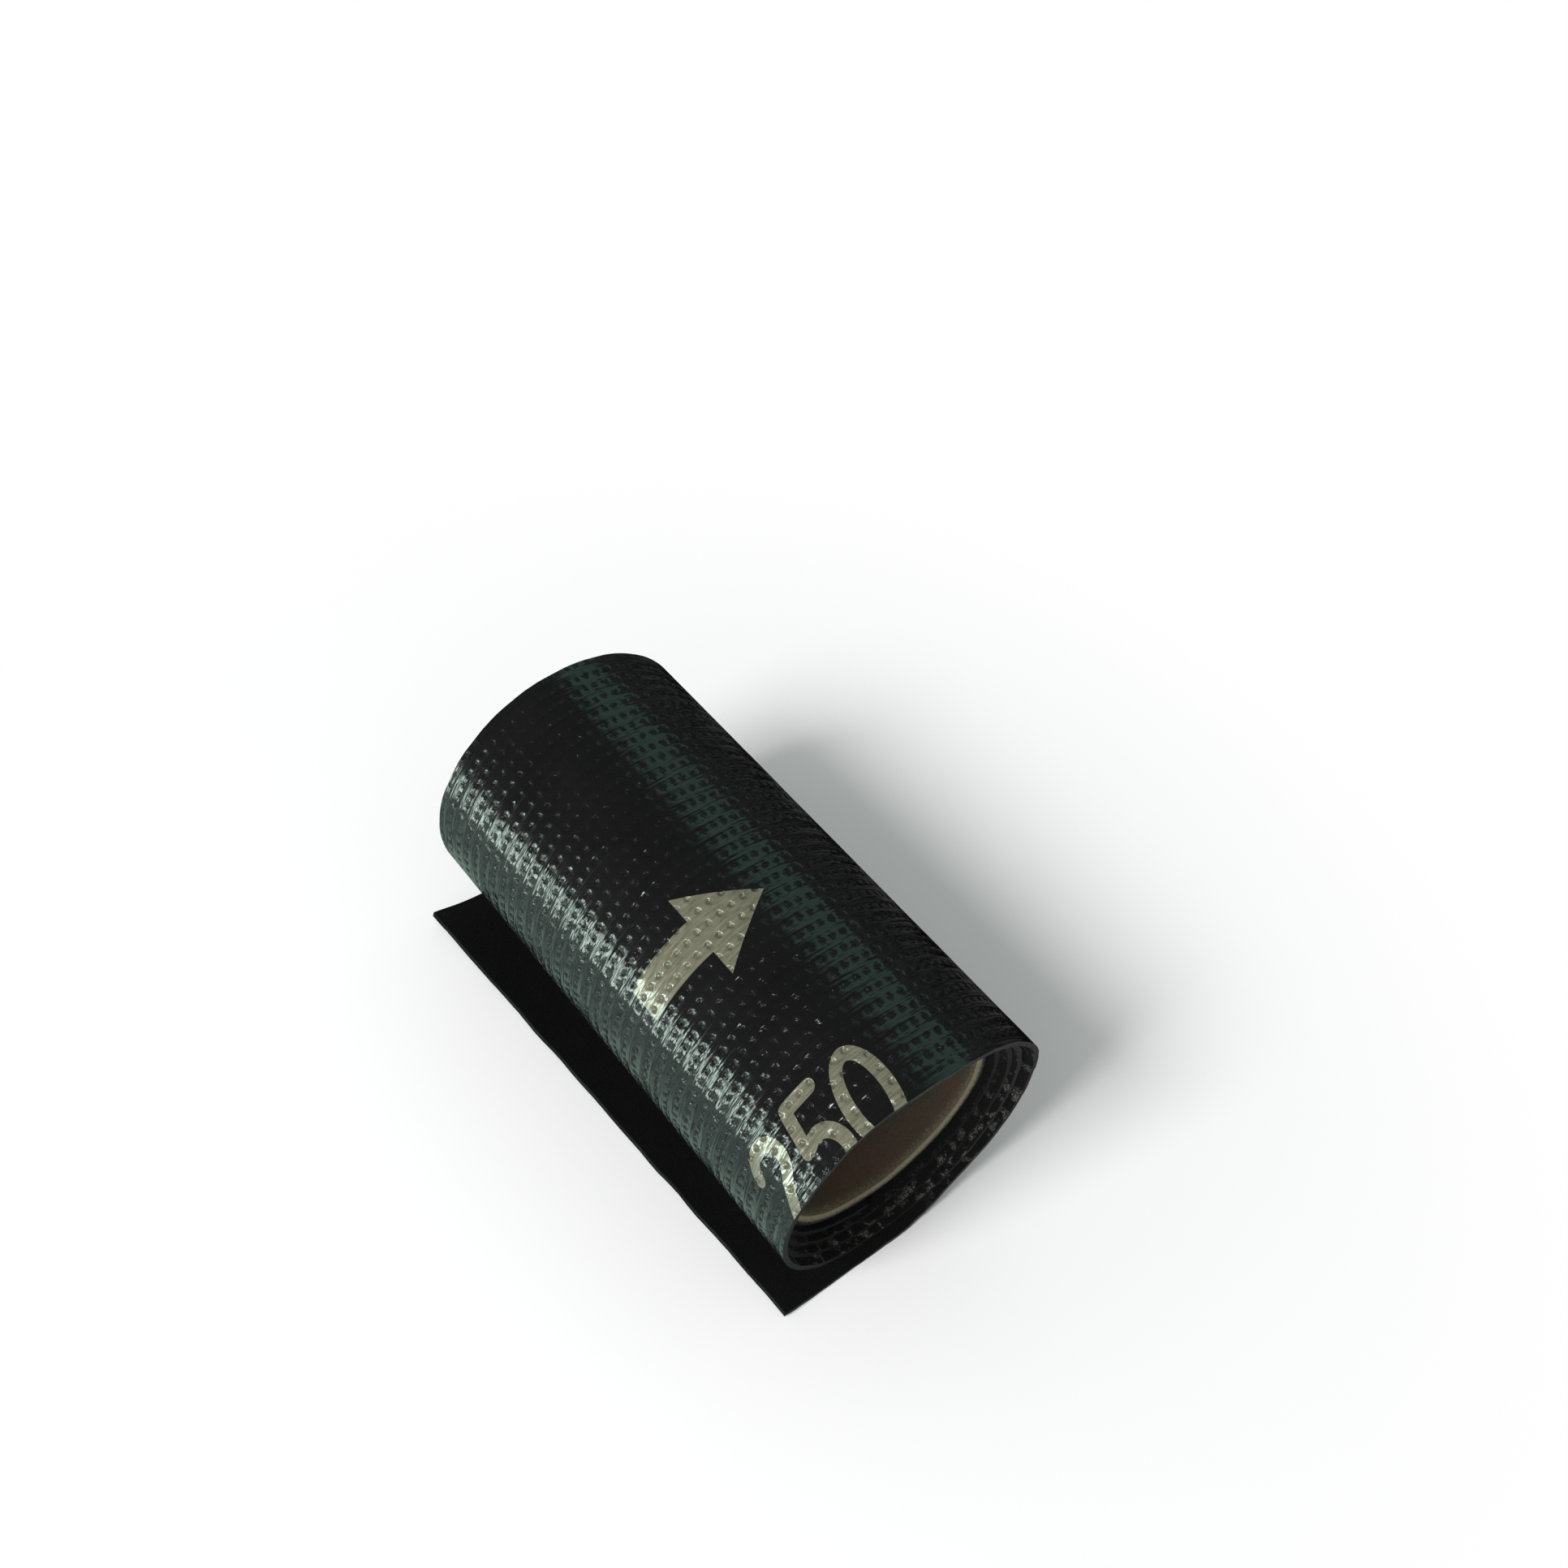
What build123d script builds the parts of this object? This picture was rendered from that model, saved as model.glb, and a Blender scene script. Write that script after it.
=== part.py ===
from build123d import *
import copy
import os

# A short roll of roofing felt on its cardboard tube, lying on the floor with its free end under it.
# The axis of the roll runs along Y. The near end faces -Y, the free end points to -X, and the floor is Z = 0.
# Seen from the near end the strip winds inward anticlockwise: under the roll, up the right side and over the top.

# The felt strip
felt_width = 200.0            # width of the strip, and so of the roll
felt_thickness = 1.9          # bitumen, reinforcement and film together
turn_gap = 0.2                # air between two turns of the winding
half_turns = 8                # from under the axis at the outside to under the axis at the tube
slack = 2.0                   # how far the loose outermost half turn stands off to the right

# The tube
tube_bore = 78.0              # inner diameter
tube_wall = 4.2
tube_length = 190.0
tube_recess = 15.0            # how far the tube lies behind the outermost turn at the near end
tube_clearance = 0.2          # air between the tube and the first turn

# The free end
tail_flat = 25.0              # stretch that lies flat on the floor, from under the axis
tail_curl_radius = 150.0      # curl that the winding has left in the strip
tail_curl_angle = 14.0        # how far the curled stretch would turn up, in degrees
tail_near = 46.0              # from under the axis to the cut at the near edge
tail_far = 56.0               # and at the far edge, as the end is cut askew

# The ends of the winding
turn_step = 2.0               # how far a turn stands out past the next one in, at the near end

pitch = felt_thickness + turn_gap
tube_radius = tube_bore / 2 + tube_wall
inner_radius = tube_radius + tube_clearance
outer_radius = inner_radius + felt_thickness + (half_turns - 1) * pitch / 2
axis_height = outer_radius
half_width = felt_width / 2

# The tube shares its centre with the innermost half turn, and half turns on the left lie half a pitch higher
core_height = axis_height + (pitch / 2 if half_turns % 2 == 0 else 0.0)


# Extrudes a sketch drawn in X and Z along the roll, moved from the near end by a shift
def across_felt(sketch, shift=0.0):
    return extrude(Plane.XZ.offset(half_width - shift) * sketch, -felt_width)


# A half ring of the strip on one side of X = 0
def half_ring(radius, on_right):
    side = Rectangle(radius, 2 * radius, align=(Align.MIN if on_right else Align.MAX, Align.CENTER))
    return (Circle(radius) - Circle(radius - felt_thickness)) & side


# One half turn of the strip. Half turns are counted from the outside: even ones lie on the right of the axis.
# A spiral drawn with half circles has two centres, half a pitch apart, and each half turn is half a pitch smaller.
def half_turn(index):
    on_right = index % 2 == 0
    height = axis_height if on_right else axis_height + pitch / 2
    band = Pos(0, height) * half_ring(outer_radius - index * pitch / 2, on_right)
    return across_felt(band, index * turn_step / 2)


# The outermost half turn is loose: it stands off to the right, with a short straight run under and over the roll
def loose_half_turn():
    run = Pos(slack / 2, felt_thickness / 2) * Rectangle(slack, felt_thickness)
    top_run = Pos(0, 2 * outer_radius - felt_thickness) * run
    return across_felt(Pos(slack, axis_height) * half_ring(outer_radius, True) + run + top_run)


# The free end: flat on the floor, then curled up, with its end cut askew. The path runs along its underside.
def tail():
    flat = Line((0, 0), (-tail_flat, 0))
    flat_top = Line((0, felt_thickness), (-tail_flat, felt_thickness))
    curl = JernArc(flat @ 1, flat % 1, tail_curl_radius, -tail_curl_angle)
    curl_top = JernArc(flat_top @ 1, flat_top % 1, tail_curl_radius - felt_thickness, -tail_curl_angle)
    ends = Line(flat @ 0, flat_top @ 0) + Line(curl @ 1, curl_top @ 1)
    strip = across_felt(make_face((flat + flat_top + curl + curl_top + ends).edges()))
    plan = Polygon((0, -half_width), (0, half_width), (-tail_far, half_width), (-tail_near, -half_width), align=None)
    return strip & extrude(plan, outer_radius)


def felt_roll():
    return tail().fuse(loose_half_turn(), *[half_turn(index) for index in range(1, half_turns)])


def cardboard_core():
    tube = Pos(0, core_height) * (Circle(tube_radius) - Circle(tube_bore / 2))
    return extrude(Plane.XZ.offset(half_width - tube_recess) * tube, -tube_length)


# The origin is the middle of the whole roll's base, on the floor
pieces = {"felt_roll": felt_roll(), "cardboard_core": cardboard_core()}
whole = Compound(children=[copy.copy(piece) for piece in pieces.values()]).bounding_box()
to_origin = Pos(-whole.center().X, -whole.center().Y, -whole.min.Z)

os.makedirs("parts", exist_ok=True)
for name, piece in pieces.items():
    export_step(to_origin * piece, "parts/" + name + ".step")
print("axis of the tube at x", -whole.center().X, "z", core_height - whole.min.Z)
print("middle of the tube at y", -half_width + tube_recess + tube_length / 2 - whole.center().Y)
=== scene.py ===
import math
import bpy
import numpy as np
from mathutils import Matrix, Vector
from mathutils.geometry import delaunay_2d_cdt


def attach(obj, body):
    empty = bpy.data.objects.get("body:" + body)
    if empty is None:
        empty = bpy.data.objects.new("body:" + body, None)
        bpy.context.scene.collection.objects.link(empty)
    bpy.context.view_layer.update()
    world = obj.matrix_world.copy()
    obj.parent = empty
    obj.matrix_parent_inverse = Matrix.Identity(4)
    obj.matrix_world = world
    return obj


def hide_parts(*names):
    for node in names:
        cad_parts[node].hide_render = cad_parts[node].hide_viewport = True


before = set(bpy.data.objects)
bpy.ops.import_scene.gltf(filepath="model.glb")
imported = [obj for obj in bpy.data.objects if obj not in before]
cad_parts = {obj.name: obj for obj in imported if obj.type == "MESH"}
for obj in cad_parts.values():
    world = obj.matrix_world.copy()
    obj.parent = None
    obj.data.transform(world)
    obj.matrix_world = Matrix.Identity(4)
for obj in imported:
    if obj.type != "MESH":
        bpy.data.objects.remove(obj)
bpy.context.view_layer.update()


# The felt strip. Bitumen on a reinforcing fleece, with a black film melted to its outer face and pressed by a
# studded roller. It is wound on its tube, the outermost half turn is loose, and the free end lies flat under
# the roll. Lengths are in millimetres, and s runs along the film from the cut inward, with 0 under the axis.
MM = 0.001
AXIS_X = 0.675               # the strip leaves the floor under this x
FELT = 1.9                   # thickness
PITCH = 2.1                  # one turn and its air
OUTER = 52.65                # radius of the outermost half turn
HALF_TURNS = 8
SLACK = 2.0                  # the loose half turn stands off this far at the near end
SLACK_LOST = 0.7             # share of it that is gone at the far end
TAIL_FLAT = 25.0             # the free end lies flat this far, then curls up
TAIL_CURL = 150.0            # radius of the curl
radii = [OUTER - i * PITCH / 2 for i in range(HALF_TURNS)]
starts = [SLACK]             # where each half turn starts along the path
for i in range(1, HALF_TURNS):
    starts.append(starts[-1] + math.pi * radii[i - 1] + (SLACK if i == 1 else 0))
PATH_END = starts[-1] + math.pi * radii[-1]


# Where a point of the strip lies in the plane across the roll. It is given by its length along the path, its
# share of the width from the near edge, and its depth under the film
def strip_xz(s, share, depth):
    s, share, depth = np.broadcast_arrays(s, share, depth)
    give = SLACK * (1.0 - SLACK_LOST * share)
    curled = s < -TAIL_FLAT
    angle = (-TAIL_FLAT - s) / TAIL_CURL
    x = np.where(curled, -TAIL_FLAT - (TAIL_CURL - depth) * np.sin(angle), s)
    z = np.where(curled, TAIL_CURL - (TAIL_CURL - depth) * np.cos(angle), depth)
    for i, (radius, start) in enumerate(zip(radii, starts)):
        on_right = i % 2 == 0
        angle = (s - start) / radius + (-math.pi / 2 if on_right else math.pi / 2)
        centre_x = give if i == 0 else 0.0
        centre_z = OUTER if on_right else OUTER + PITCH / 2
        reached = s >= start
        x = np.where(reached, centre_x + (radius - depth) * np.cos(angle), x)
        z = np.where(reached, centre_z + (radius - depth) * np.sin(angle), z)
    over_top = (s >= starts[0] + math.pi * OUTER) & (s < starts[1])
    x = np.where(over_top, give * (starts[1] - s) / SLACK, x)
    z = np.where(over_top, 2 * OUTER - depth, z)
    return x + AXIS_X, z


# The two long edges wander as the strip was wound: each turn lies a little behind the next one out. The free
# end was cut with a knife, askew
NEAR_S = [-60, 0, 41, 84, 126, 167, 211, 252, 292, 331, 415, 490, 575, 735, 890, 1040, 1232]
NEAR_Y = [-103.3, -102.6, -100.2, -99.9, -102.3, -103.0, -100.6, -99.8, -99.2, -98.4, -97.3, -97.6, -96.2,
          -94.8, -93.4, -91.0, -90.6]
FAR_S = [-60, 0, 160, 330, 660, 980, 1232]
FAR_Y = [97.0, 97.2, 98.0, 98.4, 99.8, 101.6, 103.2]
CUT_S = -50.8                # the cut, in the middle of the strip
CUT_SKEW = -0.05             # and how it leans
NEAR_WAVER, FAR_WAVER, CUT_WAVER = 0.30, 0.25, 0.5
WAVES_EACH = 3               # waves of one size
WAVE_FADE = 0.55             # height of each smaller set, as a share of the last
FULL_CIRCLE = 6.283


# A smooth line through given points
def smooth_line(s, knots, values):
    s = np.asarray(s, float)
    i = np.clip(np.searchsorted(knots, s) - 1, 0, len(knots) - 2)
    knots, values = np.array(knots, float), np.array(values, float)
    t = np.clip((s - knots[i]) / (knots[i + 1] - knots[i]), 0, 1)
    return values[i] + (values[i + 1] - values[i]) * (3 * t * t - 2 * t ** 3)


# Smooth seeded waves between about -1 and 1, for edges and sheets that are never quite straight
def waves(*coordinates, seed, longest, octaves):
    draw = np.random.default_rng(seed)
    total, height = 0.0, 1.0
    for octave in range(octaves):
        for _ in range(WAVES_EACH):
            turns = draw.normal(size=len(coordinates)) * 2 * math.pi / (longest / 2 ** octave)
            phase = draw.uniform(0, FULL_CIRCLE)
            across = sum(c * turn for c, turn in zip(coordinates, turns))
            total = total + height * np.sin(across + phase) / (2 * WAVES_EACH)
        height *= WAVE_FADE
    return total


def near_edge(s):
    waver = waves(np.asarray(s, float), seed=3, longest=30, octaves=5)
    return smooth_line(s, NEAR_S, NEAR_Y) + NEAR_WAVER * waver


def far_edge(s):
    waver = waves(np.asarray(s, float), seed=4, longest=30, octaves=4)
    return smooth_line(s, FAR_S, FAR_Y) + FAR_WAVER * waver


def cut_end(y):
    return CUT_S + CUT_SKEW * y + CUT_WAVER * waves(y, seed=5, longest=25, octaves=5)


# The dimples of the pressed film lie on a lattice. Each is a crumpled pit about 2 mm wide, with four rows and
# four columns of points: the outer ones are its rim, and the inner ones its floor
CELL_S, CELL_Y = 4.69, 5.61              # from pit to pit, along the strip and across it
FIRST_S, FIRST_Y = 193.2, 1.4            # the middle of one of them
PIT_S = [-1.05, -0.58, 0.58, 1.05]       # its rows, from its middle
PIT_Y = [-0.88, -0.42, 0.42, 0.88]       # and its columns
PIT_STEPS = [0, 1, 2, 3, -1]             # numbers of its rows or columns, and the line between two pits
PIT_FLOOR = (1, 2)
PIT_FACES = (0, 1, 2)                    # its faces start on these
PIT_DEPTH = (0.21, 0.33)
PIT_LEAN = 0.10                          # the floor is deeper by this on the side of the free end
RIM_RISE = 0.05
PIT_WANDER = 0.15                        # how far each point is off its line
PIT_SEED = 21
DIMPLED = (3.0, 345.0)                   # stretch of the strip whose film shows
NEAR_LINES, FAR_LINES = [-101.0, -100.6], [97.6, 98.0]    # columns along the two long edges
END_ROOM, SIDE_ROOM = 2.0, 1.6           # a pit keeps this far from the stretch's ends and from the edges
EDGE_PULL = 5.0                          # the edges' wander fades over this length
TAIL_ROWS = 25
TAIL_CROWD = 1.15                        # its rows lie closer together near the roll
WOUND_FROM, WOUND_ROWS = 348, 360        # rows of the stretch that is hidden in the winding
s_cells = [FIRST_S + CELL_S * k for k in range(-60, 60)]
s_cells = [s for s in s_cells if DIMPLED[0] + END_ROOM < s < DIMPLED[1] - END_ROOM]
y_cells = [FIRST_Y + CELL_Y * k for k in range(-60, 60)]
y_cells = [y for y in y_cells if NEAR_LINES[0] + SIDE_ROOM < y < FAR_LINES[1] - SIDE_ROOM]
dimple_rows = [s + step for s in s_cells for step in PIT_S + [CELL_S / 2]]
dimple_columns = [y + step for y in y_cells for step in PIT_Y + [CELL_Y / 2]]
tail_shares = np.linspace(1, 0, TAIL_ROWS + 1)[:-1] ** TAIL_CROWD
wound_rows = np.linspace(WOUND_FROM, PATH_END, WOUND_ROWS)
s_rows = np.concatenate([CUT_S * tail_shares, [0.0, SLACK], dimple_rows, wound_rows])
y_lines = np.array(NEAR_LINES + dimple_columns + FAR_LINES)
columns = len(y_lines)

# Columns that a row keeps: all of them on the dimpled film, fewer at the free end, and few in the winding
fine = list(range(columns))
coarse = [0, 1, 3, 8, 20, 50, 90] + [columns - k for k in (50, 20, 8, 3, 2, 1)]
medium = sorted(set(fine[::3]) | set(coarse))

# Path length, y and share of the width of every point of the film's grid
S = np.repeat(s_rows[:, None], columns, 1)
Y = np.repeat(y_lines[None, :], len(s_rows), 0)
S[:TAIL_ROWS] = tail_shares[:, None] * cut_end(Y[:TAIL_ROWS])
near, far = near_edge(S), far_edge(S)
width_shares = (y_lines - y_lines[0]) / (y_lines[-1] - y_lines[0])
SHARE = np.repeat(width_shares[None, :], len(s_rows), 0)
near_pull = (near - y_lines[0]) * np.exp(-(Y - y_lines[0]) / EDGE_PULL)
far_pull = (far - y_lines[-1]) * np.exp(-(y_lines[-1] - Y) / EDGE_PULL)
Y = np.where(S > DIMPLED[1], near + (far - near) * SHARE, Y + (near_pull + far_pull))

# The pits: which rows and columns run through one, how deep each point lies, and how it is shifted
rng = np.random.default_rng(PIT_SEED)
pit_row = np.array([-1] * (TAIL_ROWS + 2) + PIT_STEPS * len(s_cells) + [-1] * WOUND_ROWS)
pit_column = np.array([-1] * len(NEAR_LINES) + PIT_STEPS * len(y_cells) + [-1] * len(FAR_LINES))
in_pit = (pit_row[:, None] >= 0) & (pit_column[None, :] >= 0)
on_floor = np.isin(pit_row, PIT_FLOOR)[:, None] & np.isin(pit_column, PIT_FLOOR)[None, :]
lean = np.where(pit_row == 1, PIT_LEAN, -PIT_LEAN)[:, None]
sink = np.where(on_floor, rng.uniform(*PIT_DEPTH, S.shape) + lean, 0.0)
sink = sink - np.where(in_pit & ~on_floor, rng.uniform(0, RIM_RISE, S.shape), 0.0)
S = S + np.where(in_pit, rng.uniform(-PIT_WANDER, PIT_WANDER, S.shape), 0.0)
Y = Y + np.where(in_pit, rng.uniform(-PIT_WANDER, PIT_WANDER, S.shape), 0.0)

TAIL_LIFT = 0.9              # the cut end lifts unevenly by up to this
SAG, SAG_WAVER = 0.12, 0.10  # and the winding lies this much under its drawn radius
LIFT_RUN, LIFT_EASE = 30, 1.5
SAG_FROM, SAG_RUN = 5, 20


# Places on the strip in metres, never outside the drawn radius
def strip_place(s, y, share, depth):
    x, z = strip_xz(s, share, depth)
    uneven = (0.5 + waves(y, seed=6, longest=60, octaves=3)).clip(0, 1)
    lift = TAIL_LIFT * uneven * np.clip((-s - TAIL_FLAT) / LIFT_RUN, 0, 1) ** LIFT_EASE
    sag = (SAG + SAG_WAVER * waves(s, y, seed=7, longest=60, octaves=2)).clip(0, 1)
    sag = sag * np.clip((s - SAG_FROM) / SAG_RUN, 0, 1)
    radius = np.hypot(x - AXIS_X, z - OUTER) + 1e-9
    x = x - sag * (x - AXIS_X) / radius
    z = z - sag * (z - OUTER) / radius + lift
    return np.stack([x, y, z], -1) * MM


EDGE_DEPTHS = [0.4, 0.95, 1.5]           # lines of points between film and underside, where the strip is cut
EDGE_BULGE, EDGE_ROUGH, CUT_ROUGH = 0.10, 0.20, 0.25
DEPTH_STRETCH = 8                        # the roughness changes this much faster through the strip than along
UV_MM = 100.0                            # millimetres to one unit of the UV layer
points, uvs, faces, face_materials, face_flat = [], [], [], [], []


def add_points(places, s, y, depth):
    first = len(points)
    points.extend(places.reshape(-1, 3).tolist())
    uvs.extend(np.stack([(s + depth) / UV_MM, (y + depth) / UV_MM], -1).reshape(-1, 2).tolist())
    return first + np.arange(s.size).reshape(s.shape)


# Faces between two rows of points, each of which may keep only some columns. The faces of a pit are flat
def join_rows(a, a_columns, b, b_columns, material, flip, row=None):
    swap = len(a_columns) < len(b_columns)
    if swap:
        a, a_columns, b, b_columns = b, b_columns, a, a_columns
    for first, last in zip(b_columns, b_columns[1:]):
        face = [a[c] for c in a_columns if first <= c <= last] + [b[last], b[first]]
        faces.append(face[::-1] if flip != swap else face)
        face_materials.append(material)
        pressed = row is not None and len(b_columns) == columns
        face_flat.append(pressed and pit_row[row] in PIT_FACES and pit_column[first] in PIT_FACES)


def film_columns(row):
    return medium if row < TAIL_ROWS else fine if s_rows[row] <= DIMPLED[1] else coarse


def back_columns(row):
    return medium if row <= TAIL_ROWS else coarse


# The film and the underside
FILM, UNDERSIDE, CUT_FACE = 0, 1, 2
film_index = add_points(strip_place(S, Y, SHARE, sink), S, Y, sink)
back = np.full_like(S, FELT)
back_index = add_points(strip_place(S, Y, SHARE, back), S, Y, back)
last_row = len(s_rows) - 1
for row in range(last_row):
    after = row + 1
    join_rows(film_index[row], film_columns(row), film_index[after], film_columns(after), FILM, False, row)
    join_rows(back_index[row], back_columns(row), back_index[after], back_columns(after), UNDERSIDE, True)

# The two long edges. A ring holds a row's points from the film through the strip to the underside
rings = []
for column, outward in ((0, 1), (columns - 1, -1)):
    depth = np.repeat(np.array(EDGE_DEPTHS)[None, :], len(s_rows), 0)
    s, y, share = [np.repeat(grid[:, column:column + 1], len(EDGE_DEPTHS), 1) for grid in (S, Y, SHARE)]
    rough = waves(s, depth * DEPTH_STRETCH, seed=8, longest=12, octaves=4)
    y = y + outward * (EDGE_BULGE + EDGE_ROUGH * rough)
    band = add_points(strip_place(s, y, share, depth), s, y, depth)
    ring = np.concatenate([film_index[:, column:column + 1], band, back_index[:, column:column + 1]], 1)
    rings.append(ring)
    for row in range(last_row):
        for k in range(len(EDGE_DEPTHS) + 1):
            face = [ring[row, k], ring[row + 1, k], ring[row + 1, k + 1], ring[row, k + 1]]
            faces.append(face if outward > 0 else face[::-1])
            face_materials.append(CUT_FACE)
            face_flat.append(False)

# The strip's two ends: the cut at the free end, and the one on the tube
for row, kept, flip in ((0, medium, True), (last_row, coarse, False)):
    depth = np.repeat(np.array(EDGE_DEPTHS)[:, None], columns, 1)
    s, y, share = [np.repeat(grid[row][None, :], len(EDGE_DEPTHS), 0) for grid in (S, Y, SHARE)]
    rough = waves(y, depth * DEPTH_STRETCH, seed=9, longest=10, octaves=4)
    s = s + (1 if row == 0 else -1) * (EDGE_BULGE + CUT_ROUGH * rough)
    band = add_points(strip_place(s, y, share, depth), s, y, depth)
    band[:, 0] = rings[0][row, 1:-1]
    band[:, -1] = rings[1][row, 1:-1]
    levels = [film_index[row]] + list(band) + [back_index[row]]
    for upper, lower in zip(levels, levels[1:]):
        join_rows(upper, kept, lower, kept, CUT_FACE, flip)

SHARP = math.radians(48)     # faces that meet at more than this keep a sharp edge
scene = bpy.context.scene


# Makes an object of the points that its faces use
def make_object(name, points, faces, uvs, materials, face_materials=None, face_flat=None, uv_name="strip_mm"):
    used = sorted({k for face in faces for k in face})
    order = {k: i for i, k in enumerate(used)}
    mesh = bpy.data.meshes.new(name)
    mesh.from_pydata([points[k] for k in used], [], [[order[k] for k in face] for face in faces])
    layer = mesh.uv_layers.new(name=uv_name)
    corners = np.empty(len(mesh.loops), np.int32)
    mesh.loops.foreach_get("vertex_index", corners)
    layer.data.foreach_set("uv", np.array([uvs[k] for k in used], np.float32)[corners].ravel())
    for material in materials:
        mesh.materials.append(material)
    if face_materials:
        mesh.polygons.foreach_set("material_index", np.array(face_materials, np.int32))
    smooth = np.array([not flat for flat in face_flat]) if face_flat else np.ones(len(faces), bool)
    mesh.polygons.foreach_set("use_smooth", smooth)
    mesh.update()
    mesh.set_sharp_from_angle(angle=SHARP)
    obj = bpy.data.objects.new(name, mesh)
    scene.collection.objects.link(obj)
    return obj


# An sRGB hex colour as Blender's linear one
def linear(code):
    rgb = [int(code[i:i + 2], 16) / 255 for i in (1, 3, 5)]
    return tuple(c / 12.92 if c <= 0.04045 else ((c + 0.055) / 1.055) ** 2.4 for c in rgb) + (1.0,)


# Adds a node with its settings. Its inputs come in order or by name, each as a value, a socket, or a node,
# which stands for its first output
def node(tree, kind, inputs=(), **settings):
    added = tree.nodes.new("ShaderNode" + kind)
    for key, value in settings.items():
        setattr(added, key, value)
    for key, value in inputs.items() if isinstance(inputs, dict) else enumerate(inputs):
        value = value.outputs[0] if isinstance(value, bpy.types.Node) else value
        if isinstance(value, bpy.types.NodeSocket):
            tree.links.new(value, added.inputs[key])
        else:
            added.inputs[key].default_value = value
    return added


def new_material(name):
    material = bpy.data.materials.new(name)
    material.use_nodes = True
    material.node_tree.nodes.clear()
    return material, material.node_tree


# Heights of the film's fine relief, in millimetres. Its draw lines run along the strip. The real ones are 0.6
# to 0.85 mm apart. They are drawn 1.1 mm apart, with a weaker set between, because finer ones don't show
CRUMPLE, CRUMPLES_PER_MM = 0.20, 1.7     # unevenness of a pit's floor
BULGE = 0.028                            # rise of the film between two rows of pits
LINE_SETS = ((0.08, 0.9, 0.30), (0.05, 1.7, 0.07))    # stretch along the strip, lines per mm, height
ROW_CLEAR = (0.7, 2.0)                   # the draw lines are weaker this near a row of pits
CELLS_BACK = 200                         # pits are counted from this many before the first


# The pressed film's relief, and the place on the strip that it is worked out from. The last two values are
# the distance from the nearest pit's middle, first with 1 at the pit's rim and then in millimetres
def film_relief(tree):
    strip = node(tree, "SeparateXYZ", [node(tree, "UVMap", uv_map="strip_mm")])
    s = node(tree, "Math", [strip.outputs[0], UV_MM], operation="MULTIPLY")
    y = node(tree, "Math", [strip.outputs[1], UV_MM], operation="MULTIPLY")
    place = node(tree, "CombineXYZ", [s, y])

    def from_middle(value, first, cell):
        counted = node(tree, "Math", [value, first - (CELLS_BACK + 0.5) * cell], operation="SUBTRACT")
        cells = node(tree, "Math", [counted, cell], operation="DIVIDE")
        part = node(tree, "Math", [cells], operation="FRACT")
        off = node(tree, "Math", [part, 0.5], operation="SUBTRACT")
        off = node(tree, "Math", [off], operation="ABSOLUTE")
        return node(tree, "Math", [off, cell], operation="MULTIPLY")

    along, across = from_middle(s, FIRST_S, CELL_S), from_middle(y, FIRST_Y, CELL_Y)
    along_share = node(tree, "Math", [along, PIT_S[-1]], operation="DIVIDE")
    across_share = node(tree, "Math", [across, PIT_Y[-1]], operation="DIVIDE")
    to_rim = node(tree, "Math", [along_share, across_share], operation="MAXIMUM")
    pit = node(tree, "MapRange", {"Value": to_rim, "From Min": 1.3, "From Max": 0.8},
               interpolation_type="SMOOTHSTEP")
    crumple = node(tree, "TexNoise", {"Vector": place, "Scale": CRUMPLES_PER_MM, "Detail": 0.0,
                                      "Roughness": 0.5}, noise_dimensions="2D")
    crumple = node(tree, "Math", [crumple, 0.5], operation="SUBTRACT")
    crumple = node(tree, "Math", [crumple, pit], operation="MULTIPLY")
    crumple = node(tree, "Math", [crumple, CRUMPLE], operation="MULTIPLY")
    rows = node(tree, "Math", [y, FIRST_Y], operation="SUBTRACT")
    rows = node(tree, "Math", [rows, 2 * math.pi / CELL_Y], operation="MULTIPLY")
    rows = node(tree, "Math", [rows], operation="COSINE")
    bulge = node(tree, "Math", [rows, -BULGE], operation="MULTIPLY")
    lines = 0.0
    for stretch, per_mm, height in LINE_SETS:
        slow = node(tree, "CombineXYZ", [node(tree, "Math", [s, stretch], operation="MULTIPLY"), y])
        noise = node(tree, "TexNoise", {"Vector": slow, "Scale": per_mm, "Detail": 0.0, "Roughness": 0.5},
                     noise_dimensions="2D")
        lines = node(tree, "Math", [noise, height, lines], operation="MULTIPLY_ADD")
    between = node(tree, "MapRange", {"Value": across, "From Min": ROW_CLEAR[0], "From Max": ROW_CLEAR[1],
                                      "To Min": 0.5, "To Max": 1.0})
    lines = node(tree, "Math", [lines, between], operation="MULTIPLY")
    relief = node(tree, "Math", [crumple, bulge], operation="ADD")
    relief = node(tree, "Math", [relief, lines], operation="ADD")
    along = node(tree, "Math", [along, 2.0], operation="POWER")
    across = node(tree, "Math", [across, 2.0], operation="POWER")
    aside = node(tree, "Math", [along, across], operation="ADD")
    aside = node(tree, "Math", [aside], operation="SQRT")
    return relief, place, to_rim, aside


# Polyethylene film on bitumen, hot-pressed: near black, and glossy but for the crumpled floors of the pits
WORN_PER_MM = 0.05           # patches of wear are about 20 mm wide


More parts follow.
